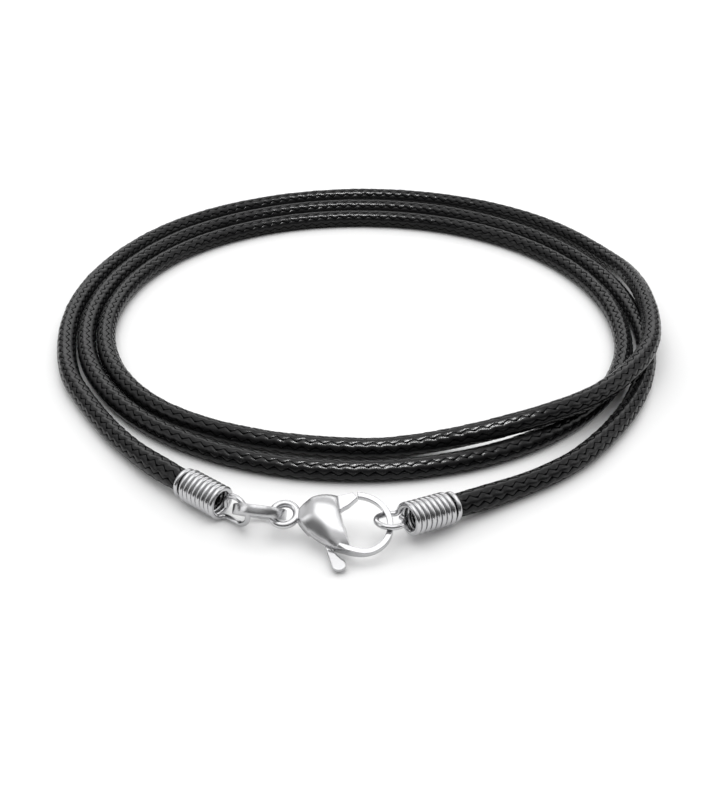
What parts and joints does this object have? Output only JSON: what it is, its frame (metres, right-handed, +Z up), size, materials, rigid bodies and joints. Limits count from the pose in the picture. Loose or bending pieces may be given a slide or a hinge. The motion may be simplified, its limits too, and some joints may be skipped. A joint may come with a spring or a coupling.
{
  "type": "leather cord necklace",
  "caption": "Round braided leather cord necklace laid in loose turns, with coiled wire ends, a jump ring and a trigger clasp hooked shut.",
  "frame": {"origin": "middle of the necklace's footprint, on the surface that it lies on", "axes": "+X along the clasp from its ring to its hook, +Y from the clasp to the far side of the coil, +Z up"},
  "size_m": [0.0626, 0.0762, 0.004],
  "materials": {
    "black_leather": "black waxed leather, softly shining",
    "wire_steel": "polished stainless steel wire",
    "ring_steel": "polished stainless steel",
    "clasp_steel": "polished stainless steel",
    "lever_steel": "polished stainless steel",
    "pin_steel": "plain steel"
  },
  "bodies": {
    "root": {"braided_cord": "black_leather", "wire_end_left": "wire_steel", "wire_end_right": "wire_steel", "jump_ring": "ring_steel", "clasp_body": "clasp_steel", "lever_pin": "pin_steel"},
    "lever": {"clasp_lever": "lever_steel"}
  },
  "joints": [
    {"name": "lever_hinge", "type": "hinge", "parent": "root", "child": "lever", "pos_m": [-0.00261, -0.03338, 0.00214], "axis": [0.0637, 0.3693, -0.9271], "range_deg": [0, 22], "stiffness_Nm_per_rad": 0.002, "springref_deg": -5.73}
  ]
}
